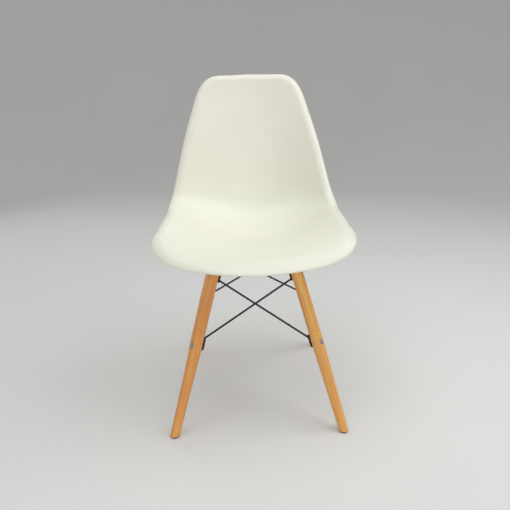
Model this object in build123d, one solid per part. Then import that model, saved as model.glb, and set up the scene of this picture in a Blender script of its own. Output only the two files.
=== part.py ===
from build123d import *
from functools import lru_cache
import math
import os

# A side chair: one moulded plastic shell on four splayed wooden legs that crossed steel wires tie together.
# Millimetres, +Z up. The sitter faces -Y. The origin is on the floor under the middle of the whole chair.

# Legs: round dowels that lean in towards the middle and taper to the foot
FOOT_SPAN_X = 410.0
FOOT_SPAN_Y = 422.0
HEAD_INSET = 112.0
HEAD_HEIGHT = 398.0
LEG_DIAMETER = 29.0
FOOT_DIAMETER = 22.0
TAPER_HEIGHT = 195.0
LEG_CHAMFER = 1.5
FLAT_DEPTH = 2.5

# Foot glides and the nails that hold them
GLIDE_DIAMETER = 20.0
GLIDE_THICKNESS = 4.0
GLIDE_ROUNDING = 1.0
NAIL_DIAMETER = 2.5
NAIL_LENGTH = 16.0
NAIL_HEAD_DIAMETER = 6.0
NAIL_HEAD_HEIGHT = 1.2
NAIL_SINK = 0.6

# Steel plates on the milled flats: a bent bracket at each leg's head and a tab at half height
PLATE_THICKNESS = 3.0
PLATE_WIDTH = 24.0
PLATE_CORNER = 4.0
BEND_RADIUS = 3.0
PLATE_RISE = 4.0
FLANGE_BELOW_BOLT = 19.0
TAB_ABOVE_BOLT = 22.0
TAB_BELOW_BOLT = 10.0
PLATE_TAIL = 12.0

# Leg bolts with their washers, nuts and counterbores
UPPER_BOLT_DROP = 20.0
LOWER_BOLT_HEIGHT = 213.0
BOLT_DIAMETER = 6.0
BOLT_HEAD_DIAMETER = 11.5
BOLT_HEAD_HEIGHT = 3.3
BOLT_HEAD_ROUNDING = 1.1
BOLT_SOCKET_WIDTH = 4.0
BOLT_SOCKET_DEPTH = 2.0
BOLT_OVERHANG = 6.0
BOLT_CHAMFER = 0.75
BOLT_WASHER_DIAMETER = 12.0
COUNTERBORE_DIAMETER = 12.6
COUNTERBORE_DEPTH = 5.0
NUT_WIDTH = 10.0
NUT_HEIGHT = 5.0

# Brace wires: two to each side of the base, crossing, landing beside each other on every plate
WIRE_DIAMETER = 5.0
WIRE_FROM_BOLT = 14.0
WIRE_OUTER_OFFSET = 8.8
WIRE_INNER_OFFSET = 0.8
WIRE_SPARE = 10.0

# Seat screws, threaded inserts and the shell's moulded bosses
BOSS_REACH = 40.0
BOSS_DIAMETER = 22.0
INSERT_DIAMETER = 9.0
INSERT_LENGTH = 12.0
SCREW_DIAMETER = 5.0
SCREW_LENGTH = 14.0
SCREW_HEAD_DIAMETER = 9.5
SCREW_HEAD_HEIGHT = 3.6
SCREW_HEAD_ROUNDING = 0.9
SCREW_SOCKET_WIDTH = 3.0
SCREW_SOCKET_DEPTH = 2.0
SCREW_WASHER_DIAMETER = 12.0
WASHER_THICKNESS = 1.2

# Clearances: a bolt in its hole, a thread or insert in its bore, a plate's end in its flat
HOLE_CLEARANCE = 0.2
FIT_CLEARANCE = 0.05
FLAT_CLEARANCE = 0.3

# Shell: the middle line of its upper skin, as (depth behind the front edge, height above the brackets)
SHELL_WALL = 5.0
SHELL_FRONT = 246.0
SEAT_LINE = [(44, 39), (150, 27), (265, 16), (345, 22)]
BACK_LINE = [(412, 68), (446, 158), (467, 258), (491, 358), (502.5, 406)]

# Where the rim starts to roll, on the right half: (distance from the middle line, length along it),
# and its last two points by their drop below the top
RIM = [(110, 20), (200, 67), (206, 120), (201, 210), (198, 330), (184, 450), (159, 570), (133, 665)]
TOP_CORNER = (96, 6)
TOP_CREST = (62, 2)

# Radius across the shell, and the rolled lip's radius and turn, each by length along the middle line
CROSS_RADIUS = [(0, 1500), (110, 420), (230, 285), (340, 270), (430, 270), (520, 310), (620, 370), (740, 520)]
LIP_RADIUS = [(0, 55), (60, 34), (130, 20), (220, 19), (330, 20), (740, 21)]
LIP_TURN = [(0, 48), (60, 64), (130, 62), (220, 70), (740, 70)]

# Rings that the shell is drawn through, from its centre out over the lip
SHELL_CENTRE = 215.0
CAP_SHARE = 0.02
INNER_RINGS = 30
RING_CROWDING = 1.25
LIP_RINGS = 5
RIM_STEPS = 40
SLOPE_STEP = 0.5
HALVINGS = 30

# Values that follow from the sizes above
MOUNT_HEIGHT = HEAD_HEIGHT + PLATE_RISE
LEG_RADIUS = LEG_DIAMETER / 2
FLAT_X = LEG_RADIUS - FLAT_DEPTH
PLATE_FACE_X = FLAT_X + PLATE_THICKNESS
LEAN = math.atan2(HEAD_INSET * math.sqrt(2), HEAD_HEIGHT)
UPPER_BOLT_Z = (HEAD_HEIGHT - UPPER_BOLT_DROP) / math.cos(LEAN)
LOWER_BOLT_Z = LOWER_BOLT_HEIGHT / math.cos(LEAN)
FLANGE_END_Z = UPPER_BOLT_Z - FLANGE_BELOW_BOLT
CROSS_BEND = [(s, 1 / radius) for s, radius in CROSS_RADIUS]
ENDS = {"front": -1, "rear": 1}
SIDES = {"left": -1, "right": 1}
UPRIGHT = (Align.CENTER, Align.CENTER, Align.MIN)
INWARD = (Align.MIN, Align.CENTER, Align.MIN)
ACROSS = Vector(1, 0, 0)


def disc(diameter, height):
    """Upright cylinder that stands on the plane it is placed on."""
    return Cylinder(diameter / 2, height, align=UPRIGHT)


def hexagon(width, height):
    """Upright hexagonal bar, by its width across the flats."""
    return extrude(RegularPolygon(width / 2, 6, major_radius=False), height)


def leg_plane(end, side):
    """Frame of a leg: its foot on the floor, X towards the chair's middle, Z up the leg's axis."""
    foot = Vector(side * FOOT_SPAN_X / 2, end * FOOT_SPAN_Y / 2, 0)
    axis = Vector(-side * HEAD_INSET, -end * HEAD_INSET, HEAD_HEIGHT).normalized()
    inward = Vector(-side, -end, 0)
    return Plane(origin=foot, x_dir=inward - axis * inward.dot(axis), z_dir=axis)


def inward_of(z, x):
    """Place on a leg's frame, at z up its axis, from which a shape's own Z points to the chair's middle."""
    return Pos(x, 0, z) * Rot(0, 90, 0)


def in_leg_frame(reach, height):
    """Leg-frame (x, z) of a point by its reach inward from the foot and its height above the floor."""
    x = reach * math.cos(LEAN) - height * math.sin(LEAN)
    z = reach * math.sin(LEAN) + height * math.cos(LEAN)
    return x, z


def boss_reach():
    """Distance inward from a foot to the shell's boss above it."""
    return HEAD_INSET * math.sqrt(2) + BOSS_REACH


def boss_location(plane):
    """Place on the brackets' upper faces under a boss."""
    x, z = in_leg_frame(boss_reach(), MOUNT_HEIGHT)
    return Location(plane.from_local_coords((x, 0, z)))


def leg_foot(plane):
    """Middle of a leg's sawn foot, where the glide's top face lies."""
    return plane.from_local_coords((0, 0, GLIDE_THICKNESS / math.cos(LEAN)))


def leg(plane):
    head = HEAD_HEIGHT / math.cos(LEAN)
    taper = TAPER_HEIGHT / math.cos(LEAN)
    foot_radius = FOOT_DIAMETER / 2
    outline = Polyline(
        (0, -FOOT_DIAMETER),
        (foot_radius, -FOOT_DIAMETER),
        (foot_radius, 0),
        (LEG_RADIUS, taper),
        (LEG_RADIUS, head - LEG_CHAMFER),
        (LEG_RADIUS - LEG_CHAMFER, head),
        (0, head),
        close=True,
    )
    body = revolve(Plane.XZ * make_face(outline), Axis.Z)
    upper_flat = (FLANGE_END_Z - FLAT_CLEARANCE, head)
    tab_low = LOWER_BOLT_Z - TAB_BELOW_BOLT - FLAT_CLEARANCE
    tab_high = LOWER_BOLT_Z + TAB_ABOVE_BOLT + FLAT_CLEARANCE
    for low, high in (upper_flat, (tab_low, tab_high)):
        body -= Pos(FLAT_X, 0, low) * Box(LEG_DIAMETER, LEG_DIAMETER, high - low, align=INWARD)
    for z in (UPPER_BOLT_Z, LOWER_BOLT_Z):
        body -= inward_of(z, -LEG_DIAMETER) * disc(BOLT_DIAMETER + 2 * HOLE_CLEARANCE, 2 * LEG_DIAMETER)
        body -= inward_of(z, -LEG_DIAMETER) * disc(COUNTERBORE_DIAMETER, LEG_RADIUS + COUNTERBORE_DEPTH)
    sawn = split(plane * body, Plane.XY.offset(GLIDE_THICKNESS), keep=Keep.TOP)
    nail_depth = NAIL_LENGTH + HOLE_CLEARANCE
    return sawn - Location(leg_foot(plane)) * disc(NAIL_DIAMETER + 2 * FIT_CLEARANCE, nail_depth)


def glide(plane):
    """Black disc under a leg, with its rim eased and its nail's head sunk into it."""
    body = Pos(0, 0, -GLIDE_THICKNESS) * disc(GLIDE_DIAMETER, GLIDE_THICKNESS)
    body = fillet(body.edges().group_by(Axis.Z)[0], GLIDE_ROUNDING)
    body -= Pos(0, 0, -GLIDE_THICKNESS) * disc(NAIL_DIAMETER + 2 * FIT_CLEARANCE, GLIDE_THICKNESS)
    recess = NAIL_SINK + NAIL_HEAD_HEIGHT
    body -= Pos(0, 0, -GLIDE_THICKNESS) * disc(NAIL_HEAD_DIAMETER + 2 * HOLE_CLEARANCE, recess)
    return Location(leg_foot(plane)) * body


def glide_nail(plane):
    head_top = NAIL_SINK + NAIL_HEAD_HEIGHT - GLIDE_THICKNESS
    body = Pos(0, 0, head_top - NAIL_HEAD_HEIGHT) * disc(NAIL_HEAD_DIAMETER, NAIL_HEAD_HEIGHT)
    body += Pos(0, 0, head_top) * disc(NAIL_DIAMETER, NAIL_LENGTH - head_top)
    return Location(leg_foot(plane)) * body


def top_bracket(plane):
    """Steel strip: a flange on the leg's flat, bent to a level plate that reaches in under the boss."""
    tail = boss_reach() + PLATE_TAIL
    outer_corner = (FLAT_X, (MOUNT_HEIGHT + FLAT_X * math.sin(LEAN)) / math.cos(LEAN))
    lower_face = MOUNT_HEIGHT - PLATE_THICKNESS
    inner_corner = (PLATE_FACE_X, (lower_face + PLATE_FACE_X * math.sin(LEAN)) / math.cos(LEAN))
    outline = Polyline(
        (FLAT_X, FLANGE_END_Z),
        outer_corner,
        in_leg_frame(tail, MOUNT_HEIGHT),
        in_leg_frame(tail, lower_face),
        inner_corner,
        (PLATE_FACE_X, FLANGE_END_Z),
        close=True,
    )
    strip = make_face(outline)
    strip = fillet(strip.vertices().sort_by_distance(inner_corner)[0], BEND_RADIUS)
    strip = fillet(strip.vertices().sort_by_distance(outer_corner)[0], BEND_RADIUS + PLATE_THICKNESS)
    body = extrude(Plane.XZ * strip, PLATE_WIDTH / 2, both=True)
    body -= inward_of(UPPER_BOLT_Z, 0) * disc(BOLT_DIAMETER + 2 * HOLE_CLEARANCE, LEG_DIAMETER)
    placed = plane * body
    placed = fillet(placed.edges().filter_by(Axis.Z), PLATE_CORNER)
    hole = disc(SCREW_DIAMETER + 2 * HOLE_CLEARANCE, PLATE_THICKNESS)
    return placed - boss_location(plane) * Pos(0, 0, -PLATE_THICKNESS) * hole


def lower_tab(plane):
    """Small plate on the leg's lower flat that the wires are welded to."""
    low = LOWER_BOLT_Z - TAB_BELOW_BOLT
    length = TAB_ABOVE_BOLT + TAB_BELOW_BOLT
    body = Pos(FLAT_X, 0, low) * Box(PLATE_THICKNESS, PLATE_WIDTH, length, align=INWARD)
    body = fillet(body.edges().filter_by(Axis.X), PLATE_CORNER)
    body -= inward_of(LOWER_BOLT_Z, 0) * disc(BOLT_DIAMETER + 2 * HOLE_CLEARANCE, LEG_DIAMETER)
    return plane * body


def leg_bolt(plane, z):
    """Bolt through a leg: socket head in the outer counterbore, thread past the nut inside."""
    under_head = COUNTERBORE_DEPTH - LEG_RADIUS - WASHER_THICKNESS
    tip = PLATE_FACE_X + NUT_HEIGHT + BOLT_OVERHANG
    head = disc(BOLT_HEAD_DIAMETER, BOLT_HEAD_HEIGHT)
    head = fillet(head.edges().group_by(Axis.Z)[0], BOLT_HEAD_ROUNDING)
    head -= hexagon(BOLT_SOCKET_WIDTH, BOLT_SOCKET_DEPTH)
    shank = disc(BOLT_DIAMETER, tip - under_head)
    shank = chamfer(shank.edges().group_by(Axis.Z)[-1], BOLT_CHAMFER)
    body = inward_of(z, under_head - BOLT_HEAD_HEIGHT) * head
    body += inward_of(z, under_head) * shank
    return plane * body


def leg_washer(plane, z):
    ring = disc(BOLT_WASHER_DIAMETER, WASHER_THICKNESS)
    ring -= disc(BOLT_DIAMETER + 2 * HOLE_CLEARANCE, WASHER_THICKNESS)
    return plane * inward_of(z, COUNTERBORE_DEPTH - LEG_RADIUS - WASHER_THICKNESS) * ring


def leg_nut(plane, z):
    body = hexagon(NUT_WIDTH, NUT_HEIGHT) - disc(BOLT_DIAMETER + 2 * FIT_CLEARANCE, NUT_HEIGHT)
    return plane * inward_of(z, PLATE_FACE_X) * body


def seat_screw(plane):
    """Socket screw from below, through washer and bracket into the insert."""
    under_plate = -PLATE_THICKNESS - WASHER_THICKNESS
    head = disc(SCREW_HEAD_DIAMETER, SCREW_HEAD_HEIGHT)
    head = fillet(head.edges().group_by(Axis.Z)[0], SCREW_HEAD_ROUNDING)
    head -= hexagon(SCREW_SOCKET_WIDTH, SCREW_SOCKET_DEPTH)
    body = Pos(0, 0, under_plate - SCREW_HEAD_HEIGHT) * head
    body += Pos(0, 0, under_plate) * disc(SCREW_DIAMETER, SCREW_LENGTH)
    return boss_location(plane) * body


def seat_washer(plane):
    ring = disc(SCREW_WASHER_DIAMETER, WASHER_THICKNESS)
    ring -= disc(SCREW_DIAMETER + 2 * HOLE_CLEARANCE, WASHER_THICKNESS)
    return boss_location(plane) * Pos(0, 0, -PLATE_THICKNESS - WASHER_THICKNESS) * ring


def threaded_insert(plane):
    body = disc(INSERT_DIAMETER, INSERT_LENGTH) - disc(SCREW_DIAMETER + 2 * FIT_CLEARANCE, INSERT_LENGTH)
    return boss_location(plane) * body


def landing(plane, z, offset):
    """Point on a plate's inner face that a wire's axis runs to."""
    return plane.from_local_coords((PLATE_FACE_X, offset, z))


def wire_side(plane, other):
    """Side of a leg's plate, +1 or -1 along its own Y, that faces another leg."""
    return math.copysign(1, plane.to_local_coords(other.origin).Y)


def brace_wire(upper, lower, offset):
    """Straight wire from one leg's bracket down to the next leg's tab, cut flush on both plates."""
    start = landing(upper, UPPER_BOLT_Z - WIRE_FROM_BOLT, offset * wire_side(upper, lower))
    end = landing(lower, LOWER_BOLT_Z + WIRE_FROM_BOLT, offset * wire_side(lower, upper))
    run = (end - start).normalized()
    path = Plane(origin=start - run * WIRE_SPARE, z_dir=run)
    body = path * disc(WIRE_DIAMETER, (end - start).length + 2 * WIRE_SPARE)
    block = 2 * (PLATE_WIDTH + FLANGE_BELOW_BOLT)
    for plane, z in ((upper, UPPER_BOLT_Z), (lower, LOWER_BOLT_Z)):
        body -= plane * Pos(PLATE_FACE_X - block / 2, 0, z) * Box(block, block, block)
    return body


def secant(table, i):
    """Slope of a table's straight run from row i to the next."""
    return (table[i + 1][1] - table[i][1]) / (table[i + 1][0] - table[i][0])


def row_slope(table, i):
    """Slope at row i of a table, level at its peaks so that the curve never overshoots the rows."""
    if i == 0:
        return secant(table, 0)
    if i == len(table) - 1:
        return secant(table, i - 1)
    before = secant(table, i - 1)
    after = secant(table, i)
    return 2 * before * after / (before + after) if before * after > 0 else 0.0


def table_value(table, s):
    """Smooth value at station s of a table of (station, value) rows."""
    s = min(max(s, table[0][0]), table[-1][0])
    i = max(k for k in range(len(table) - 1) if table[k][0] <= s)
    span = table[i + 1][0] - table[i][0]
    t = (s - table[i][0]) / span
    bulge_in = row_slope(table, i) * span * t * (1 - t) ** 2
    bulge_out = row_slope(table, i + 1) * span * t ** 2 * (t - 1)
    blend = t ** 2 * (3 - 2 * t)
    return table[i][1] * (1 - blend) + table[i + 1][1] * blend + bulge_in + bulge_out


def midline():
    """Curve along the middle of the shell's upper skin, from the front crown to the top."""
    points = SEAT_LINE + BACK_LINE
    return Edge.make_spline([Vector(0, depth - SHELL_FRONT, MOUNT_HEIGHT + rise) for depth, rise in points])


def rim_outline(length):
    """Curve, on the unrolled skin, where the right half of the rim starts to roll."""
    top = [(x, length - drop) for x, drop in (TOP_CORNER, TOP_CREST, (0, 0))]
    points = [Vector(x, s, 0) for x, s in [(0, 0)] + RIM + top]
    return Edge.make_spline(points, tangents=[ACROSS, -ACROSS])


class Skin:
    """The shell's upper skin: a middle line with a dished section across it."""

    def __init__(self):
        self.line = midline()
        self.length = self.line.length
        outline = rim_outline(self.length)
        shares = [i / RIM_STEPS for i in range(RIM_STEPS + 1)]
        self.rim = [(outline.position_at(share), outline.tangent_at(share)) for share in shares]

    @lru_cache(maxsize=None)
    def station(self, s):
        """Point, tangent and upward normal of the middle line at length s along it."""
        share = min(max(s / self.length, 0.0), 1.0)
        tangent = self.line.tangent_at(share)
        return self.line.position_at(share), tangent, Vector(0, -tangent.Z, tangent.Y)

    def point(self, x, s):
        origin, _, up = self.station(s)
        rise = x ** 2 / 2 * table_value(CROSS_BEND, s)
        return origin + ACROSS * x + up * rise

    def slopes(self, x, s):
        """Directions on the skin across and along the chair, and its normal."""
        s = min(max(s, SLOPE_STEP), self.length - SLOPE_STEP)
        across = (self.point(x + SLOPE_STEP, s) - self.point(x - SLOPE_STEP, s)) / (2 * SLOPE_STEP)
        along = (self.point(x, s + SLOPE_STEP) - self.point(x, s - SLOPE_STEP)) / (2 * SLOPE_STEP)
        return across, along, across.cross(along).normalized()

    def inner_ring(self, share, depth):
        """Ring at a share of the way from the shell's centre to its rim, at a depth below the skin."""
        points = []
        for place, _ in self.rim:
            x = share * place.X
            s = SHELL_CENTRE + share * (place.Y - SHELL_CENTRE)
            points.append(self.point(x, s) - self.slopes(x, s)[2] * depth)
        return closed_ring(points)

    def cap_ring(self, depth):
        """Small flat ring at the shell's centre that closes it."""
        origin, tangent, up = self.station(SHELL_CENTRE)
        origin = origin - up * depth
        places = [place for place, _ in self.rim]
        offsets = [ACROSS * p.X + tangent * (p.Y - SHELL_CENTRE) for p in places]
        points = [origin + offset * CAP_SHARE for offset in offsets]
        return closed_ring(points)

    def lip_ring(self, share, depth, overrun=0.0):
        """Ring on the rolled lip at a share of its turn, run on by a length past its end."""
        points = []
        for place, heading in self.rim:
            across, along, up = self.slopes(place.X, place.Y)
            out = (across * heading.X + along * heading.Y).cross(up).normalized()
            radius = table_value(LIP_RADIUS, place.Y)
            turn = share * math.radians(table_value(LIP_TURN, place.Y)) + overrun / radius
            centre = self.point(place.X, place.Y) - up * radius
            points.append(centre + (out * math.sin(turn) + up * math.cos(turn)) * (radius - depth))
        return closed_ring(points)


def ring_half(points, side):
    """Smooth half of a ring, square to the chair's middle plane at both its ends."""
    steps = [i / RIM_STEPS for i in range(RIM_STEPS + 1)]
    leave = ACROSS * (side * RIM_STEPS * (points[1] - points[0]).length)
    arrive = ACROSS * (-side * RIM_STEPS * (points[-1] - points[-2]).length)
    return Edge.make_spline(points, tangents=[leave, arrive], parameters=steps, scale=False)


def closed_ring(points):
    """Ring of two halves, right and left, from the front middle round to it again."""
    mirrored = [Vector(-p.X, p.Y, p.Z) for p in reversed(points)]
    return Wire([ring_half(points, 1), ring_half(mirrored, -1)])


def shell_station(skin, place):
    """Length along the middle line at which the skin is above a place on the plan."""
    low = 0.0
    high = skin.length / 2
    for _ in range(HALVINGS):
        middle = (low + high) / 2
        if skin.point(place.X, middle).Y < place.Y:
            low = middle
        else:
            high = middle
    return middle


def boss(skin, plane):
    """Moulded boss that stands from a bracket up to half the shell's wall."""
    foot = boss_location(plane).position
    s = shell_station(skin, foot)
    up = skin.slopes(foot.X, s)[2]
    top = skin.point(foot.X, s) - up * SHELL_WALL / 2
    column = disc(BOSS_DIAMETER, 2 * (top.Z - foot.Z))
    column -= disc(INSERT_DIAMETER + 2 * FIT_CLEARANCE, INSERT_LENGTH + HOLE_CLEARANCE)
    return split(Location(foot) * column, Plane(origin=top, z_dir=up), keep=Keep.BOTTOM)


def seat_shell(planes):
    """Shell drawn through rings: out over the upper skin, round the lip's edge and back below."""
    skin = Skin()
    inner_shares = [1 - (1 - (i + 1) / INNER_RINGS) ** RING_CROWDING for i in range(INNER_RINGS)]
    lip_shares = [(i + 1) / LIP_RINGS for i in range(LIP_RINGS)]
    upper = [skin.cap_ring(0)]
    upper += [skin.inner_ring(share, 0) for share in inner_shares]
    upper += [skin.lip_ring(share, 0) for share in lip_shares]
    lower = [skin.cap_ring(SHELL_WALL)]
    lower += [skin.inner_ring(share, SHELL_WALL) for share in inner_shares]
    lower += [skin.lip_ring(share, SHELL_WALL) for share in lip_shares]
    edge = skin.lip_ring(1, SHELL_WALL / 2, overrun=SHELL_WALL / 2)
    body = Solid.make_loft(upper + [edge] + lower[::-1], ruled=True)
    return body.fuse(*[boss(skin, plane) for plane in planes])


def brace_wires(planes):
    """Wires by name: on each side of the base one from each leg's bracket to the other leg's tab."""
    ring = ["front_left", "front_right", "rear_right", "rear_left"]
    side_names = ["front", "right", "rear", "left"]
    wires = {}
    for i, side_name in enumerate(side_names):
        first = ring[i]
        second = ring[(i + 1) % len(ring)]
        for upper, lower, offset in ((first, second, WIRE_OUTER_OFFSET), (second, first, WIRE_INNER_OFFSET)):
            end_name = upper.replace(side_name, "").strip("_")
            wire = brace_wire(planes[upper], planes[lower], offset)
            wires[f"brace_{side_name}_from_{end_name}"] = [wire]
    return wires


def build_nodes():
    planes = {f"{end}_{side}": leg_plane(ENDS[end], SIDES[side]) for end in ENDS for side in SIDES}
    legs = list(planes.values())
    nodes = {"seat_shell": [seat_shell(legs)]}
    for name, plane in planes.items():
        nodes[f"leg_{name}"] = [leg(plane)]
        nodes[f"top_bracket_{name}"] = [top_bracket(plane)]
        nodes[f"lower_tab_{name}"] = [lower_tab(plane)]
        nodes[f"foot_glide_{name}"] = [glide(plane)]
    nodes.update(brace_wires(planes))
    for level, z in (("upper", UPPER_BOLT_Z), ("lower", LOWER_BOLT_Z)):
        nodes[f"{level}_leg_bolts"] = [leg_bolt(plane, z) for plane in legs]
        nodes[f"{level}_leg_washers"] = [leg_washer(plane, z) for plane in legs]
        nodes[f"{level}_leg_nuts"] = [leg_nut(plane, z) for plane in legs]
    nodes["seat_screws"] = [seat_screw(plane) for plane in legs]
    nodes["seat_washers"] = [seat_washer(plane) for plane in legs]
    nodes["threaded_inserts"] = [threaded_insert(plane) for plane in legs]
    nodes["glide_nails"] = [glide_nail(plane) for plane in legs]
    return nodes


def write_nodes(nodes):
    """Write every node, moved so that the origin is under the middle of the whole chair."""
    os.makedirs("parts", exist_ok=True)
    solids = {name: [solid for part in parts for solid in part.solids()] for name, parts in nodes.items()}
    box = Compound(sum(solids.values(), [])).bounding_box()
    middle = Pos(0, -(box.min.Y + box.max.Y) / 2, 0)
    for name, group in solids.items():
        placed = [middle * solid for solid in group]
        export_step(placed[0] if len(placed) == 1 else Compound(children=placed), f"parts/{name}.step")
    print("chair", box.size, "nodes", len(nodes))


write_nodes(build_nodes())
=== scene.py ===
"""Looks of a side chair: a moulded shell on four beech legs tied by crossed wires. Metres, +Z up."""
import math

import bpy
import numpy as np
from mathutils import Matrix, Vector


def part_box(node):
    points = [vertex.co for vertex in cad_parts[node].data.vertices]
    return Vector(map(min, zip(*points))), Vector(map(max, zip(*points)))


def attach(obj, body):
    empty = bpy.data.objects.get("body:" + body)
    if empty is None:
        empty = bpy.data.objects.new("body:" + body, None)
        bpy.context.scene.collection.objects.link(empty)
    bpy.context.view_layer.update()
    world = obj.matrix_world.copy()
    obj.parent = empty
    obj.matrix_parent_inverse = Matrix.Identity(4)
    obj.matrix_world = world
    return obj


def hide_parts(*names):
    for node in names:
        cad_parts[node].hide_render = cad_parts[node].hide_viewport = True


# Camera: its eye point, its turn, tilt and roll, and the picture's width and focal length in pixels
EYE = Vector((-0.0092, -1.2406, 0.810))
HEADING = math.radians(0.53)
PITCH = math.radians(19.15)
ROLL = math.radians(1.47)
SENSOR = 36.0
FRAME_PIXELS = 510
FOCAL_PIXELS = 505

# Studio: a flat floor that curves up all round, and soft boxes aimed at the chair, each with its turn from
# the front to the right, its height angle, its width, its height and its power
FLOOR_RADIUS = 2.6
SWEEP_RADIUS = 2.0
SWEEP_STEPS = 24
FLOOR_SIDES = 96
FLOOR_COLOUR = (0.82, 0.82, 0.81)
FLOOR_SHADE = 0.98
FLOOR_NOISE = (1.5, 2.0)
FLOOR_ROUGHNESS = 0.9
WORLD_COLOUR = (1, 1, 1, 1)
WORLD_STRENGTH = 0.30
LAMP_TARGET = Vector((0, 0, 0.45))
LAMP_DISTANCE = 2.4
LAMPS = {
    "key": (78, 48, 1.8, 1.8, 23.5),
    "front": (0, 17, 2.0, 1.0, 12),
    "top": (0, 88, 1.6, 1.6, 10.5),
    "left": (-60, 66, 1.2, 1.2, 7),
    "strip": (180, 50, 1.6, 0.25, 3.5),
    "rear": (232, 22, 2.0, 2.0, 5),
}

# Shell: its wall and the middle line of its upper skin, as (depth, height above the brackets)
WALL = 0.005
SEAT_LINE = [(0.044, 0.039), (0.150, 0.027), (0.265, 0.016), (0.345, 0.022)]
BACK_LINE = [(0.412, 0.068), (0.446, 0.158), (0.467, 0.258), (0.491, 0.358), (0.5025, 0.406)]

# Where the rim starts to roll, on the right half: (distance from the middle line, length along it),
# and its last two points by their drop below the top
RIM = [(0.110, 0.020), (0.200, 0.067), (0.206, 0.120), (0.201, 0.210),
       (0.198, 0.330), (0.184, 0.450), (0.159, 0.570), (0.133, 0.665)]
TOP_CORNER = (0.096, 0.006)
TOP_CREST = (0.062, 0.002)

# Radius across the shell, and the rolled lip's radius and turn, each by length along the middle line
CROSS_RADIUS = [(0, 1.5), (0.110, 0.420), (0.230, 0.285), (0.340, 0.270),
                (0.430, 0.270), (0.520, 0.310), (0.620, 0.370), (0.740, 0.520)]
CROSS_BEND = [(s, 1 / radius) for s, radius in CROSS_RADIUS]
LIP_RADIUS = [(0, 0.055), (0.060, 0.034), (0.130, 0.020), (0.220, 0.019), (0.330, 0.020), (0.740, 0.021)]
LIP_TURN = [(0, 48), (0.060, 64), (0.130, 62), (0.220, 70), (0.740, 70)]

# Mesh of the shell: cells across and along, rings round the lip and its nose, and the patch's corners
CELLS_ACROSS = 72
CELLS_ALONG = 104
LIP_RINGS = 10
NOSE_RINGS = 6
FRONT_CORNER = 0.20
REAR_CORNER = 0.885
CURVE_SAMPLES = 3000
SLOPE_STEP = 0.0005
HALVINGS = 30

# Moulded bosses under the shell: a post with a bore for its insert and a fillet into the skin
BOSS_RADIUS = 0.011
BOSS_BORE_RADIUS = 0.00455
BOSS_BORE_DEPTH = 0.0122
BOSS_FILLET = 0.007
BOSS_EDGE = 0.0008
INSERT_RADIUS = 0.0045
BOSS_SIDES = 48
FILLET_STEPS = 8

# Welds round the wires' ends: bead radius, its ripples, the mesh round and across it, how far a sawn end's
# faces turn towards the wire's axis, and the decimals to which a node's corners are told apart
WIRE_RADIUS = 0.0025
BEAD_RADIUS = 0.0013
BEAD_RIPPLE = 0.16
BEAD_RIPPLES = (9, 14)
BEAD_STEPS = 56
BEAD_SIDES = 10
END_FACING = 0.2
CORNER_DIGITS = 6

# Threads on the bolts' free ends: the bolt's radius and plain tip, the pitch, the ridge's height, sink,
# half width and start, and its steps in a turn
BOLT_RADIUS = 0.003
BOLT_TIP = 0.0009
THREAD_PITCH = 0.001
THREAD_HEIGHT = 0.00028
THREAD_SINK = THREAD_HEIGHT / 2
THREAD_HALF_WIDTH = 0.45 * THREAD_PITCH
THREAD_START = THREAD_PITCH / 2
THREAD_STEPS = 28

# Finishes: each noise has a scale and a detail, each bump a depth and a strength, each roughness a range,
# and a finish goes from its dark to its light tone between two stops on its noise
TONE_STOPS = (0.3, 0.7)

# Plastic: cloudy display tones of the seat, which carry a painted greener tint of bounce light, and of the
# back, the heights between which the painted seat tint gives way to the back's tone, a few specks, the
# mould's fine grain and patches of gloss
SEAT_TONES_WITH_PAINTED_BOUNCE = ((237, 237, 221), (241, 241, 226))
BACK_TONES = ((238, 235, 221), (242, 239, 227))
PAINTED_BOUNCE_STEP = (0.48, 0.64)
CLOUD_NOISE = (7.0, 3.0)
SPECK_NOISE = (330.0, 0.0)
SPECK_STEP = (0.90, 0.92)
SPECK_TONE = (150, 140, 120)
MOULD_NOISE = (1400.0, 2.0)
MOULD_BUMP = (0.00004, 0.30)
GLOSS_NOISE = (22.0, 2.0)
PLASTIC_ROUGHNESS = (0.27, 0.35)

# Beech: growth rings round a leaning pith, then bands, streaks and flecks, each with its scale on every axis
# and its detail, the display tones that they bring in, and the lacquer
RING_PITH = (0.022, 0.010, 0)
RING_TILT = (0.022, -0.016, 0)
RING_STRETCH = (1, 1, 0.06)
RING_KIND = {"wave_type": "RINGS", "rings_direction": "Z", "wave_profile": "SAW"}
RING_WAVE = {"Scale": 100.0, "Distortion": 1.6, "Detail": 2.0, "Detail_Scale": 1.2}
RING_SHARE = 0.50
RING_TONE = (208, 136, 64)
BAND_NOISE = ((70, 70, 2.2), 3.0)
BAND_TONES = [(0.28, (219, 154, 80)), (0.52, (230, 172, 98)), (0.75, (240, 190, 120))]
STREAK_NOISE = ((560, 560, 9), 3.0)
STREAK_STEP = (0.46, 0.76)
STREAK_TONE = (198, 128, 60)
STREAK_BUMP = (0.00012, 0.5)
FLECK_NOISE = ((1100, 1100, 110), 1.0)
FLECK_STEP = (0.67, 0.77)
FLECK_TONE = (164, 100, 48)
BEECH_ROUGHNESS = (0.30, 0.46)
LACQUER_WEIGHT = 0.25
LACQUER_ROUGHNESS = 0.22

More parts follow.
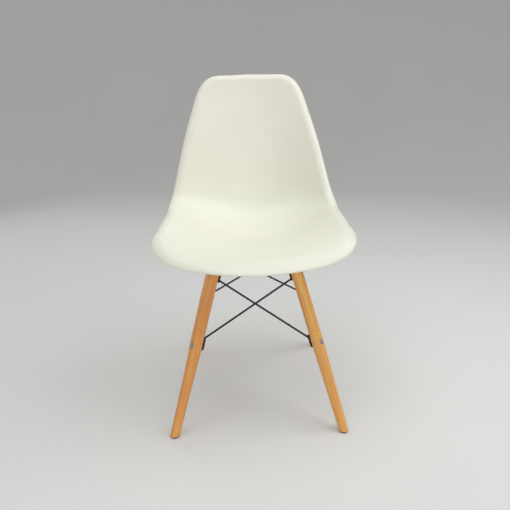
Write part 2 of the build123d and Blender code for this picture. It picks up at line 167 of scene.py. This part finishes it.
# Powder coat and nylon, in linear tones, and zinc and brass, in display tones
COAT_NOISE = (60.0, 2.0)
COAT_TONES = ((0.011, 0.014, 0.017), (0.020, 0.025, 0.029))
COAT_ROUGHNESS = (0.22, 0.34)
PEEL_NOISE = (900.0, 2.0)
PEEL_BUMP = (0.00006, 0.5)
SCUFF_NOISE = (350.0, 4.0)
NYLON_TONES = [(0.35, (0.012, 0.012, 0.012)), (0.75, (0.035, 0.034, 0.032))]
NYLON_ROUGHNESS = (0.45, 0.7)
ZINC_NOISE = (240.0, 3.0)
ZINC_TONES = ((172, 174, 178), (206, 207, 208))
ZINC_ROUGHNESS = (0.22, 0.40)
BRASS_NOISE = (300.0, 3.0)
BRASS_TONES = ((181, 142, 72), (206, 170, 98))
BRASS_ROUGHNESS = (0.25, 0.42)

# Legs: the turn of the grain from one node to the next, and each leg's tone, partly the wood's own and
# partly
# painted light: the front right leg lighter and the front left darker and redder, as the light falls on them
GRAIN_TURN = 1.9
LEG_TONES_WITH_PAINTED_LIGHT = {
    "leg_front_left": (1.14, 1.01, 0.91),
    "leg_front_right": (1.15, 1.18, 1.08),
    "leg_rear_left": (1.14, 1.12, 1.06),
    "leg_rear_right": (1.12, 1.08, 1.02),
}


# Camera and studio

def place_camera():
    """Camera at the picture's eye point, turned, tipped down and rolled as the picture is."""
    reach = math.cos(PITCH)
    ahead = Vector((math.sin(HEADING) * reach, math.cos(HEADING) * reach, -math.sin(PITCH)))
    level = Vector((math.cos(HEADING), -math.sin(HEADING), 0))
    upright = level.cross(ahead)
    right = level * math.cos(ROLL) - upright * math.sin(ROLL)
    up = level * math.sin(ROLL) + upright * math.cos(ROLL)
    data = bpy.data.cameras.new("camera")
    data.sensor_width = SENSOR
    data.lens = SENSOR * FOCAL_PIXELS / FRAME_PIXELS
    camera = bpy.data.objects.new("camera", data)
    bpy.context.scene.collection.objects.link(camera)
    turn = Matrix((right, up, -ahead)).transposed()
    camera.matrix_world = Matrix.Translation(EYE) @ turn.to_4x4()
    bpy.context.scene.camera = camera


def add_mesh(name, points, faces):
    """A smooth-shaded object from points and faces."""
    mesh = bpy.data.meshes.new(name)
    mesh.from_pydata([tuple(p) for p in points], [], [tuple(f) for f in faces])
    mesh.polygons.foreach_set("use_smooth", [True] * len(mesh.polygons))
    mesh.update()
    piece = bpy.data.objects.new(name, mesh)
    bpy.context.scene.collection.objects.link(piece)
    return piece


def lathe_faces(rings, sides):
    """Quads between successive rings of as many points each."""
    faces = []
    for ring in range(rings - 1):
        near, far = ring * sides, (ring + 1) * sides
        for i in range(sides):
            j = (i + 1) % sides
            faces.append((near + i, far + i, far + j, near + j))
    return faces


def make_floor():
    """Pale floor, flat under the chair and swept up into a wall all round it."""
    profile = [(FLOOR_RADIUS / 2, 0.0), (FLOOR_RADIUS, 0.0)]
    for step in range(1, SWEEP_STEPS + 1):
        turn = step / SWEEP_STEPS * math.pi / 2
        profile.append((FLOOR_RADIUS + SWEEP_RADIUS * math.sin(turn), SWEEP_RADIUS * (1 - math.cos(turn))))
    points = []
    for radius, height in profile:
        for side in range(FLOOR_SIDES):
            angle = side / FLOOR_SIDES * 2 * math.pi
            points.append((radius * math.cos(angle), radius * math.sin(angle), height))
    faces = [tuple(range(FLOOR_SIDES))] + lathe_faces(len(profile), FLOOR_SIDES)
    floor = add_mesh("floor", points, faces)
    floor.data.materials.append(floor_material())


def add_lamp(name, turn, rise, width, height, power):
    """A soft box that faces the chair."""
    turn, rise = math.radians(turn), math.radians(rise)
    way = Vector((math.sin(turn) * math.cos(rise), -math.cos(turn) * math.cos(rise), math.sin(rise)))
    data = bpy.data.lights.new(name, "AREA")
    data.shape = "RECTANGLE"
    data.size = width
    data.size_y = height
    data.energy = power
    lamp = bpy.data.objects.new(name, data)
    lamp.location = LAMP_TARGET + way * LAMP_DISTANCE
    lamp.rotation_mode = "QUATERNION"
    lamp.rotation_quaternion = way.to_track_quat("Z", "Y")
    bpy.context.scene.collection.objects.link(lamp)


def light_studio():
    """An even white surround and the soft boxes."""
    world = bpy.data.worlds.new("studio")
    world.use_nodes = True
    background = world.node_tree.nodes["Background"]
    background.inputs["Color"].default_value = WORLD_COLOUR
    background.inputs["Strength"].default_value = WORLD_STRENGTH
    bpy.context.scene.world = world
    for name, lamp in LAMPS.items():
        add_lamp(name, *lamp)
    bpy.context.scene.view_settings.view_transform = "Standard"


# Materials

class Shader:
    """A node material, with its nodes added and linked by short calls."""

    def __init__(self, name):
        self.material = bpy.data.materials.new(name)
        self.material.use_nodes = True
        self.tree = self.material.node_tree
        self.surface = self.tree.nodes["Principled BSDF"]

    def add(self, kind, settings=None, **inputs):
        node = self.tree.nodes.new("ShaderNode" + kind)
        for key, value in (settings or {}).items():
            setattr(node, key, value)
        for key, value in inputs.items():
            self.put(node, key.replace("_", " "), value)
        return node

    def put(self, node, socket, value):
        """Set an input to a number or colour, or link it to another node's output."""
        if isinstance(value, bpy.types.NodeSocket):
            self.tree.links.new(value, node.inputs[socket])
        else:
            node.inputs[socket].default_value = value

    def finish(self, **inputs):
        for key, value in inputs.items():
            self.put(self.surface, key.replace("_", " "), value)
        return self.material

    def place(self, turn=None):
        """Coordinates in the chair's frame, or in another frame's own axes."""
        coordinates = self.add("TexCoord").outputs["Object"]
        if turn is None:
            return coordinates
        mapping = self.add("Mapping", {"vector_type": "TEXTURE"}, Vector=coordinates)
        mapping.inputs["Location"].default_value = turn.translation
        mapping.inputs["Rotation"].default_value = turn.to_euler()
        return mapping.outputs["Vector"]

    def stretched(self, coordinates, scale, shift=(0, 0, 0), tilt=(0, 0, 0)):
        node = self.add("Mapping", Vector=coordinates, Scale=scale, Location=shift, Rotation=tilt)
        return node.outputs["Vector"]

    def height(self, coordinates):
        return self.add("SeparateXYZ", Vector=coordinates).outputs["Z"]

    def noise(self, coordinates, scale, detail):
        return self.add("TexNoise", Vector=coordinates, Scale=scale, Detail=detail).outputs["Fac"]

    def long_noise(self, coordinates, stretch, detail):
        """Noise with a scale of its own on each axis."""
        return self.noise(self.stretched(coordinates, stretch), 1.0, detail)

    def ramp(self, value, stops):
        node = self.add("ValToRGB", Fac=value)
        elements = node.color_ramp.elements
        while len(elements) < len(stops):
            elements.new(1.0)
        for element, (at, shade) in zip(elements, stops):
            element.position = at
            element.color = (*shade, 1)
        return node.outputs["Color"]

    def tones(self, value, dark, light):
        """A colour from a dark tone to a light one over the middle of a noise."""
        return self.ramp(value, list(zip(TONE_STOPS, (dark, light))))

    def spread(self, value, low, high):
        """A 0 to 1 value spread over a range of numbers."""
        node = self.add("MapRange", Value=value)
        node.inputs["To Min"].default_value = low
        node.inputs["To Max"].default_value = high
        return node.outputs["Result"]

    def step(self, value, low, high):
        """0 below low, 1 above high and smooth between them."""
        node = self.add("MapRange", {"interpolation_type": "SMOOTHSTEP"}, Value=value)
        node.inputs["From Min"].default_value = low
        node.inputs["From Max"].default_value = high
        return node.outputs["Result"]

    def mix(self, share, first, second):
        """A share of a second colour over a first, by the colour sockets among the node's many."""
        share_socket, first_socket, second_socket, result_socket = 0, 6, 7, 2
        node = self.add("Mix", {"data_type": "RGBA"})
        self.put(node, share_socket, share)
        self.put(node, first_socket, first)
        self.put(node, second_socket, second)
        return node.outputs[result_socket]

    def bump(self, height, distance, strength):
        return self.add("Bump", Height=height, Distance=distance, Strength=strength).outputs["Normal"]


def rgb(red, green, blue):
    """Linear colour of a display colour given from 0 to 255."""
    def linear(v):
        v = v / 255
        return v / 12.92 if v <= 0.04045 else ((v + 0.055) / 1.055) ** 2.4
    return linear(red), linear(green), linear(blue)


def floor_material():
    """Matt pale floor with faint broad clouds."""
    shader = Shader("studio_floor")
    cloud = shader.noise(shader.place(), *FLOOR_NOISE)
    dark = [FLOOR_SHADE * v for v in FLOOR_COLOUR]
    return shader.finish(Base_Color=shader.tones(cloud, dark, FLOOR_COLOUR), Roughness=FLOOR_ROUGHNESS)


def plastic_material():
    """Off-white moulded plastic: satin, cloudy, finely grained, with a few specks; a painted greener tint of
    bounce light on the seat gives way to a warmer tone up the back.
    """
    shader = Shader("shell_plastic")
    place = shader.place()
    cloud = shader.noise(place, *CLOUD_NOISE)
    # the seat's tones are the back's plastic with painted bounce light: a shade greener and yellower
    seat = shader.tones(cloud, *[rgb(*tone) for tone in SEAT_TONES_WITH_PAINTED_BOUNCE])
    back = shader.tones(cloud, *[rgb(*tone) for tone in BACK_TONES])
    colour = shader.mix(shader.step(shader.height(place), *PAINTED_BOUNCE_STEP), seat, back)
    speck = shader.step(shader.noise(place, *SPECK_NOISE), *SPECK_STEP)
    gloss = shader.noise(place, *GLOSS_NOISE)
    return shader.finish(
        Base_Color=shader.mix(speck, colour, (*rgb(*SPECK_TONE), 1)),
        Roughness=shader.spread(gloss, *PLASTIC_ROUGHNESS),
        Normal=shader.bump(shader.noise(place, *MOULD_NOISE), *MOULD_BUMP),
    )


def beech_material(name, turn, tone):
    """Lacquered beech, grain along a leg's own axis: growth rings, fine streaks and short dark flecks."""
    def wood(red, green, blue):
        return [share * v for share, v in zip(tone, rgb(red, green, blue))]

    shader = Shader(name)
    place = shader.place(turn)
    trunk = shader.stretched(place, RING_STRETCH, RING_PITH, RING_TILT)
    rings = shader.add("TexWave", RING_KIND, Vector=trunk, **RING_WAVE).outputs["Fac"]
    bands = shader.long_noise(place, *BAND_NOISE)
    streaks = shader.long_noise(place, *STREAK_NOISE)
    flecks = shader.long_noise(place, *FLECK_NOISE)
    colour = shader.ramp(bands, [(at, wood(*shade)) for at, shade in BAND_TONES])
    colour = shader.mix(shader.spread(rings, 0.0, RING_SHARE), colour, (*wood(*RING_TONE), 1))
    colour = shader.mix(shader.step(streaks, *STREAK_STEP), colour, (*wood(*STREAK_TONE), 1))
    colour = shader.mix(shader.step(flecks, *FLECK_STEP), colour, (*wood(*FLECK_TONE), 1))
    return shader.finish(
        Base_Color=colour,
        Roughness=shader.spread(streaks, *BEECH_ROUGHNESS),
        Coat_Weight=LACQUER_WEIGHT,
        Coat_Roughness=LACQUER_ROUGHNESS,
        Normal=shader.bump(streaks, *STREAK_BUMP),
    )


def coated_steel_material():
    """Black powder coat with its fine orange-peel skin."""
    shader = Shader("black_coat")
    place = shader.place()
    tone = shader.noise(place, *COAT_NOISE)
    return shader.finish(
        Base_Color=shader.tones(tone, *COAT_TONES),
        Roughness=shader.spread(tone, *COAT_ROUGHNESS),
        Normal=shader.bump(shader.noise(place, *PEEL_NOISE), *PEEL_BUMP),
    )


def metal_material(name, noise, tones, roughness):
    """Bare or plated metal, a little uneven in tone and shine."""
    shader = Shader(name)
    tone = shader.noise(shader.place(), *noise)
    colour = shader.tones(tone, *[rgb(*shade) for shade in tones])
    return shader.finish(Base_Color=colour, Metallic=1.0, Roughness=shader.spread(tone, *roughness))


def zinc_material():
    """Bright zinc plating on the fasteners."""
    return metal_material("zinc_plate", ZINC_NOISE, ZINC_TONES, ZINC_ROUGHNESS)


def brass_material():
    """Brass of the threaded inserts."""
    return metal_material("insert_brass", BRASS_NOISE, BRASS_TONES, BRASS_ROUGHNESS)


def glide_material():
    """Black nylon, scuffed by the floor."""
    shader = Shader("glide_nylon")
    scuff = shader.noise(shader.place(), *SCUFF_NOISE)
    colour = shader.ramp(scuff, NYLON_TONES)
    return shader.finish(Base_Color=colour, Roughness=shader.spread(scuff, *NYLON_ROUGHNESS))


# Shell

def end_slope(points, steps):
    """Slope at the first of four points of the cubic through them."""
    weights = np.zeros(4)
    for k in range(4):
        others = [m for m in range(4) if m != k]
        scale = np.prod([steps[k] - steps[m] for m in others])
        terms = [np.prod([steps[0] - steps[m] for m in others if m != n]) for n in others]
        weights[k] = sum(terms) / scale
    return weights @ points[:4]


def smooth_curve(points, headings=None):
    """Dense points and tangents, evenly spaced by length, of the smooth curve through a few points."""
    points = np.array(points, float)
    steps = np.concatenate([[0], np.cumsum(np.linalg.norm(np.diff(points, axis=0), axis=1))])
    first = end_slope(points, steps)
    last = -end_slope(points[::-1], steps[-1] - steps[::-1])
    if headings is not None:
        first = np.array(headings[0], float) * np.abs(first).sum() / np.abs(headings[0]).sum()
        last = np.array(headings[1], float) * np.abs(last).sum() / np.abs(headings[1]).sum()
    gaps = np.diff(steps)
    chords = np.diff(points, axis=0) / gaps[:, None]
    count = len(points)
    matrix = np.eye(count)
    right = np.zeros_like(points)
    right[0], right[-1] = first, last
    for i in range(1, count - 1):
        matrix[i, i - 1:i + 2] = gaps[i], 2 * (gaps[i - 1] + gaps[i]), gaps[i - 1]
        right[i] = 3 * (gaps[i] * chords[i - 1] + gaps[i - 1] * chords[i])
    slopes = np.linalg.solve(matrix, right)
    spots = np.linspace(0, steps[-1], CURVE_SAMPLES)
    run = np.clip(np.searchsorted(steps, spots, "right") - 1, 0, count - 2)
    t = ((spots - steps[run]) / gaps[run])[:, None]
    gap = gaps[run][:, None]
    start, end = points[run], points[run + 1]
    leave, arrive = slopes[run] * gap, slopes[run + 1] * gap
    dense = start * (1 + 2 * t) * (1 - t) ** 2 + leave * t * (1 - t) ** 2
    dense += end * t ** 2 * (3 - 2 * t) + arrive * t ** 2 * (t - 1)
    lengths = np.concatenate([[0], np.cumsum(np.linalg.norm(np.diff(dense, axis=0), axis=1))])
    even = np.linspace(0, lengths[-1], CURVE_SAMPLES)
    dense = np.stack([np.interp(even, lengths, dense[:, k]) for k in range(points.shape[1])], 1)
    tangents = np.gradient(dense, even, axis=0)
    return even, dense, tangents / np.linalg.norm(tangents, axis=1)[:, None]


def at_length(curve, column, length):
    """Values of one of a curve's columns, its points or its tangents, at lengths along it."""
    values = curve[column]
    return np.stack([np.interp(length, curve[0], values[:, k]) for k in range(values.shape[1])], -1)


def table_value(table, s):
    """Smooth values at stations s of a table of (station, value) rows, level at its peaks."""
    spots, values = np.array(table, float).T
    gaps = np.diff(spots)
    chords = np.diff(values) / gaps
    slopes = np.zeros(len(spots))
    slopes[0], slopes[-1] = chords[0], chords[-1]
    product = chords[:-1] * chords[1:]
    total = np.where(product > 0, chords[:-1] + chords[1:], 1)
    slopes[1:-1] = np.where(product > 0, 2 * product / total, 0)
    s = np.clip(s, spots[0], spots[-1])
    i = np.clip(np.searchsorted(spots, s, "right") - 1, 0, len(gaps) - 1)
    t = (s - spots[i]) / gaps[i]
    blend = t ** 2 * (3 - 2 * t)
    bulge = slopes[i] * t * (1 - t) ** 2 + slopes[i + 1] * t ** 2 * (t - 1)
    return values[i] * (1 - blend) + values[i + 1] * blend + gaps[i] * bulge


class Skin:
    """The shell's upper skin: a middle line with a dished section across it."""

    def __init__(self, mount_height):
        line = [(depth, rise + mount_height) for depth, rise in SEAT_LINE + BACK_LINE]
        self.line = smooth_curve(line)
        self.length = self.line[0][-1]
        top = [(x, self.length - drop) for x, drop in (TOP_CORNER, TOP_CREST, (0, 0))]
        self.rim = smooth_curve([(0, 0)] + RIM + top, [(1, 0), (-1, 0)])

    def point(self, x, s):
        place = at_length(self.line, 1, s)
        tangent = at_length(self.line, 2, s)
        rise = x ** 2 / 2 * table_value(CROSS_BEND, s)
        depth = place[..., 0] - tangent[..., 1] * rise
        height = place[..., 1] + tangent[..., 0] * rise
        return np.stack([x, depth, height], -1)

    def slopes(self, x, s):
        """Directions on the skin across and along the chair, and its normal."""
        s = np.clip(s, SLOPE_STEP, self.length - SLOPE_STEP)
        across = (self.point(x + SLOPE_STEP, s) - self.point(x - SLOPE_STEP, s)) / (2 * SLOPE_STEP)
        along = (self.point(x, s + SLOPE_STEP) - self.point(x, s - SLOPE_STEP)) / (2 * SLOPE_STEP)
        up = np.cross(across, along)
        return across, along, up / np.linalg.norm(up, axis=-1)[..., None]

    def underside(self, x, y):
        """Heights of the lower skin of the seat over places on the plan."""
        low = np.zeros_like(x)
        high = np.full_like(x, self.length / 2)
        for _ in range(HALVINGS):
            middle = (low + high) / 2
            short = self.point(x, middle)[..., 1] < y
            low = np.where(short, middle, low)
            high = np.where(short, high, middle)
        return self.point(x, low)[..., 2] - WALL / self.slopes(x, low)[2][..., 2]

    def rim_place(self, share):
        """Place and heading on the rim, by shares from 0 at the front middle round the right side to 2."""
        folded = np.where(share > 1, 2 - share, share) * self.rim[0][-1]
        side = np.where(share > 1, -1.0, 1.0)
        place = at_length(self.rim, 1, folded)
        heading = at_length(self.rim, 2, folded)
        place = np.stack([place[..., 0] * side, place[..., 1]], -1)
        return place, np.stack([heading[..., 0], heading[..., 1] * side], -1)


def rim_shares():
    """Shares round the rim of the patch's edge points: front, up the right, over the top, down the left."""
    front = np.linspace(-FRONT_CORNER, FRONT_CORNER, CELLS_ACROSS + 1)[:-1] % 2
    right = np.linspace(FRONT_CORNER, REAR_CORNER, CELLS_ALONG + 1)[:-1]
    top = np.linspace(REAR_CORNER, 2 - REAR_CORNER, CELLS_ACROSS + 1)[:-1]
    left = np.linspace(2 - REAR_CORNER, 2 - FRONT_CORNER, CELLS_ALONG + 1)[:-1]
    return np.concatenate([front, right, top, left])


def patch(edge):
    """Grid of places inside the rim, drawn evenly between its four sides."""
    a, b = CELLS_ACROSS, CELLS_ALONG
    front = edge[:a + 1]
    right = edge[a:a + b + 1]
    top = edge[a + b:2 * a + b + 1][::-1]
    left = np.concatenate([edge[2 * a + b:], edge[:1]])[::-1]
    u = np.linspace(0, 1, a + 1)[None, :, None]
    v = np.linspace(0, 1, b + 1)[:, None, None]
    sides = (1 - v) * front[None] + v * top[None] + (1 - u) * left[:, None] + u * right[:, None]
    corners = (1 - v) * ((1 - u) * front[0] + u * front[-1]) + v * ((1 - u) * top[0] + u * top[-1])
    return sides - corners


def edge_indices():
    """Grid indices of the patch's edge points, in the same order as the rim's shares."""
    a, b = CELLS_ACROSS, CELLS_ALONG
    index = np.arange((a + 1) * (b + 1)).reshape(b + 1, a + 1)
    return np.concatenate([index[0, :-1], index[:-1, -1], index[-1, :0:-1], index[:0:-1, 0]])


def lip_rings(skin, place, heading):
    """Rings over the rolled lip, round its nose and back below, each as points."""
    across, along, up = skin.slopes(place[:, 0], place[:, 1])
    out = np.cross(across * heading[:, :1] + along * heading[:, 1:], up)
    out = out / np.linalg.norm(out, axis=1)[:, None]
    radius = table_value(LIP_RADIUS, place[:, 1])[:, None]
    turn = np.radians(table_value(LIP_TURN, place[:, 1]))[:, None]
    centre = skin.point(place[:, 0], place[:, 1]) - up * radius

    def ring(share, depth):
        return centre + (out * np.sin(turn * share) + up * np.cos(turn * share)) * (radius - depth)

    rings = [ring((i + 1) / LIP_RINGS, 0) for i in range(LIP_RINGS)]
    outward = out * np.sin(turn) + up * np.cos(turn)
    onward = out * np.cos(turn) - up * np.sin(turn)
    middle = centre + outward * (radius - WALL / 2)
    for i in range(1, NOSE_RINGS):
        bend = math.pi * i / NOSE_RINGS
        rings.append(middle + (outward * math.cos(bend) + onward * math.sin(bend)) * WALL / 2)
    rings += [ring((LIP_RINGS - i) / LIP_RINGS, WALL) for i in range(LIP_RINGS)]
    return rings


def shell_mesh(skin):
    """Closed quad mesh: the upper skin, the lip round its edge and the lower skin."""
    place, heading = skin.rim_place(rim_shares())
    grid = patch(place).reshape(-1, 2)
    upper = skin.point(grid[:, 0], grid[:, 1])
    lower = upper - skin.slopes(grid[:, 0], grid[:, 1])[2] * WALL
    rings = lip_rings(skin, place, heading)
    points = np.concatenate([upper, lower] + rings)
    count, around = len(upper), len(place)
    a, b = CELLS_ACROSS, CELLS_ALONG
    index = np.arange(count).reshape(b + 1, a + 1)
    cells = np.stack([index[:-1, :-1], index[:-1, 1:], index[1:, 1:], index[1:, :-1]], -1).reshape(-1, 4)
    loops = [edge_indices()]
    loops += [2 * count + k * around + np.arange(around) for k in range(len(rings))]
    loops += [count + edge_indices()]
    faces = [tuple(cell) for cell in cells]
    faces += [tuple(count + cell[::-1]) for cell in cells]
    for inner, outer in zip(loops[:-1], loops[1:]):
        nexts = np.roll(np.arange(around), -1)
        faces += [(inner[i], outer[i], outer[j], inner[j]) for i, j in enumerate(nexts)]
    return points, faces


def add_piece(name, points, faces, material, slot):
    """A piece of the chair that takes the given material and hangs under the root body; the slot argument is
    not used.
    """
    piece = add_mesh(name, points, faces)
    piece.data.materials.append(material)
    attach(piece, "root")
    return piece


def boss_mesh(skin, shift, centre, foot):
    """One boss, from inside the shell's wall down round its foot and up into its bore."""
    angles = np.arange(BOSS_SIDES) / BOSS_SIDES * 2 * math.pi
    outward = np.stack([np.cos(angles), np.sin(angles)], 1)

    def ring(radius, height):
        plan = outward * radius + centre
        return np.column_stack([plan, np.broadcast_to(height, len(plan))])

    def under_skin(radius):
        plan = outward * radius + centre
        return skin.underside(plan[:, 0], plan[:, 1] - shift)

    spread = BOSS_RADIUS + BOSS_FILLET
    rings = [ring(spread, under_skin(spread) + WALL / 2)]
    for step in range(FILLET_STEPS, -1, -1):
        bend = step / FILLET_STEPS * math.pi / 2
        radius = BOSS_RADIUS + BOSS_FILLET * (1 - math.cos(bend))
        rings.append(ring(radius, under_skin(radius) - BOSS_FILLET * (1 - math.sin(bend))))
    rings.append(ring(BOSS_RADIUS, foot + BOSS_EDGE))
    rings.append(ring(BOSS_RADIUS - BOSS_EDGE, foot))
    rings.append(ring(BOSS_BORE_RADIUS, foot))
    rings.append(ring(BOSS_BORE_RADIUS, foot + BOSS_BORE_DEPTH))
    top = tuple(range(BOSS_SIDES))
    ceiling = tuple((len(rings) - 1) * BOSS_SIDES + k for k in reversed(range(BOSS_SIDES)))
    return np.concatenate(rings), lathe_faces(len(rings), BOSS_SIDES) + [top, ceiling]


def join_meshes(parts):
    """One set of points and faces from several."""
    points, faces, count = [], [], 0
    for part_points, part_faces in parts:
        points.append(part_points)
        faces += [tuple(int(k) + count for k in face) for face in part_faces]
        count += len(part_points)
    return np.concatenate(points), faces


def make_shell():
    """The shell's skins and lip, and the bosses that stand from it to the brackets."""
    low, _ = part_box("seat_shell")
    _, bracket_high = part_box("top_bracket_front_left")
    skin = Skin(bracket_high.z)
    points, faces = shell_mesh(skin)
    shift = low.y - points[:, 1].min()
    points[:, 1] += shift
    plastic = plastic_material()
    shell = add_piece("moulded_shell", points, faces, plastic, "shell")
    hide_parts("seat_shell")
    first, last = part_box("threaded_inserts")
    centres = [(x, y) for x in (first.x + INSERT_RADIUS, last.x - INSERT_RADIUS)
               for y in (first.y + INSERT_RADIUS, last.y - INSERT_RADIUS)]
    bosses = [boss_mesh(skin, shift, np.array(centre), bracket_high.z) for centre in centres]
    add_piece("shell_bosses", *join_meshes(bosses), plastic, "shell")


# Welds and threads

def node_points(node):
    """Places of a node's corners, each once."""
    return np.unique(np.round([v.co for v in node.data.vertices], CORNER_DIGITS), axis=0)


def long_axis(points):
    """Unit vector along the length of a slender piece."""
    return np.linalg.svd(points - points.mean(0), full_matrices=False)[2][0]


def split_corners(node):
    """A node's points at each of the chair's four corners."""
    points = node_points(node)
    right, rear = points[:, 0] > 0, points[:, 1] > 0
    return [points[(right == x) & (rear == y)] for x in (False, True) for y in (False, True)]


def sawn_ends(wire):
    """Middle and outward normal of each of a wire's two sawn ends."""
    axis = long_axis(node_points(wire))
    ends = []
    for sign in (-1, 1):
        faces = [f for f in wire.data.polygons if sign * np.dot(f.normal, axis) > END_FACING]
        areas = np.array([f.area for f in faces])
        centre = areas @ np.array([f.center for f in faces]) / areas.sum()
        normal = areas @ np.array([f.normal for f in faces])
        ends.append((centre, normal / np.linalg.norm(normal), axis))
    return ends


def bead_mesh(centre, normal, axis):
    """Rippled bead of weld round a wire where it lands on a plate."""
    side = np.cross(axis, normal)
    side = side / np.linalg.norm(side)
    other = np.cross(axis, side)
    angles = np.arange(BEAD_STEPS) / BEAD_STEPS * 2 * math.pi
    spoke = np.outer(np.cos(angles), side) + np.outer(np.sin(angles), other)
    slide = -(spoke @ normal) / (axis @ normal)
    root = (spoke + np.outer(slide, axis)) * WIRE_RADIUS
    outward = root / np.linalg.norm(root, axis=1)[:, None]
    ripple = sum(np.sin(n * angles + n * centre[2]) for n in BEAD_RIPPLES) / len(BEAD_RIPPLES)
    radius = BEAD_RADIUS * (1 + BEAD_RIPPLE * ripple)[:, None]
    rings = []
    for step in range(BEAD_SIDES):
        turn = step / BEAD_SIDES * 2 * math.pi
        rings.append(centre + root + radius * (outward * math.cos(turn) - normal * math.sin(turn)))
    faces = lathe_faces(BEAD_SIDES, BEAD_STEPS)
    last = (BEAD_SIDES - 1) * BEAD_STEPS
    for i in range(BEAD_STEPS):
        j = (i + 1) % BEAD_STEPS
        faces.append((last + i, i, j, last + j))
    return np.concatenate(rings), faces


def make_welds(nodes, coat):
    wires = [node for name, node in nodes.items() if name.startswith("brace_")]
    beads = [bead_mesh(*end) for wire in wires for end in sawn_ends(wire)]
    add_piece("weld_beads", *join_meshes(beads), coat, "wire")


def thread_mesh(start, axis, length):
    """Ridge that winds round a bolt's free end, sharp outside and sunk into the bolt."""
    side = np.array(Vector(axis).orthogonal().normalized())
    other = np.cross(axis, side)
    turns = (length - 2 * THREAD_START) / THREAD_PITCH
    count = int(turns * THREAD_STEPS)
    angles = np.arange(count + 1) / THREAD_STEPS * 2 * math.pi
    spoke = np.outer(np.cos(angles), side) + np.outer(np.sin(angles), other)
    rise = angles / (2 * math.pi) * THREAD_PITCH + THREAD_START
    line = start + np.outer(rise, axis)
    foot = line + spoke * (BOLT_RADIUS - THREAD_SINK)
    crest = line + spoke * (BOLT_RADIUS + THREAD_HEIGHT)
    rows = [foot - axis * THREAD_HALF_WIDTH, crest, foot + axis * THREAD_HALF_WIDTH]
    points = np.stack(rows, 1).reshape(-1, 3)
    last = 3 * count
    faces = [(0, 2, 1), (last, last + 1, last + 2)]
    for near in range(0, last, 3):
        far = near + 3
        for k in range(3):
            m = (k + 1) % 3
            faces.append((near + k, near + m, far + m, far + k))
    return points, faces


def make_threads(nodes, zinc):
    """Thread on each leg bolt between its nut and its tip."""
    threads = []
    for level in ("upper", "lower"):
        bolts = split_corners(nodes[level + "_leg_bolts"])
        nuts = split_corners(nodes[level + "_leg_nuts"])
        for bolt, nut in zip(bolts, nuts):
            centre = bolt.mean(0)
            axis = long_axis(bolt)
            axis = axis if axis[:2] @ centre[:2] < 0 else -axis
            seat = ((nut - centre) @ axis).max()
            tip = ((bolt - centre) @ axis).max() - BOLT_TIP
            threads.append(thread_mesh(centre + axis * seat, axis, tip - seat))
    add_piece("bolt_threads", *join_meshes(threads), zinc, "fastener")


# Carried-over pieces

def leg_frame(leg):
    """Frame at a leg's middle with its Z along the leg."""
    points = node_points(leg)
    axis = Vector(long_axis(points))
    axis = axis if axis.z > 0 else -axis
    turn = axis.to_track_quat("Z", "Y").to_matrix().to_4x4()
    return Matrix.Translation(Vector(points.mean(0))) @ turn


def dress(nodes, coat, zinc):
    """Give every carried-over node its finish."""
    brass, nylon = brass_material(), glide_material()
    finishes = {
        "top_bracket": coat,
        "lower_tab": coat,
        "brace": coat,
        "foot_glide": nylon,
        "threaded": brass,
    }
    for i, (name, node) in enumerate(nodes.items()):
        if name.startswith("leg_"):
            turn = leg_frame(node) @ Matrix.Rotation(i * GRAIN_TURN, 4, "Z")
            # each leg's tone is partly painted light: the front right leg painted lighter, the front left
            # painted darker
            finish = beech_material("beech_" + name, turn, LEG_TONES_WITH_PAINTED_LIGHT[name])
        else:
            finish = next((finishes[start] for start in finishes if name.startswith(start)), zinc)
        node.data.materials.clear()
        node.data.materials.append(finish)


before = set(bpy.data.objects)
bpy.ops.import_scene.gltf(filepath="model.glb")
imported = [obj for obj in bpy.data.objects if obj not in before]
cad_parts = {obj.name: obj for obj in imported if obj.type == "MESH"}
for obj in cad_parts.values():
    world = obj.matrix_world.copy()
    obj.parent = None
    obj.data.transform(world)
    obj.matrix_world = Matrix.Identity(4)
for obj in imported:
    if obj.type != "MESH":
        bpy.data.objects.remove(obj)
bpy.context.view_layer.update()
place_camera()
make_floor()
light_studio()
make_shell()
black_coat, zinc_plate = coated_steel_material(), zinc_material()
make_welds(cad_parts, black_coat)
make_threads(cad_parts, zinc_plate)
dress(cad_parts, black_coat, zinc_plate)
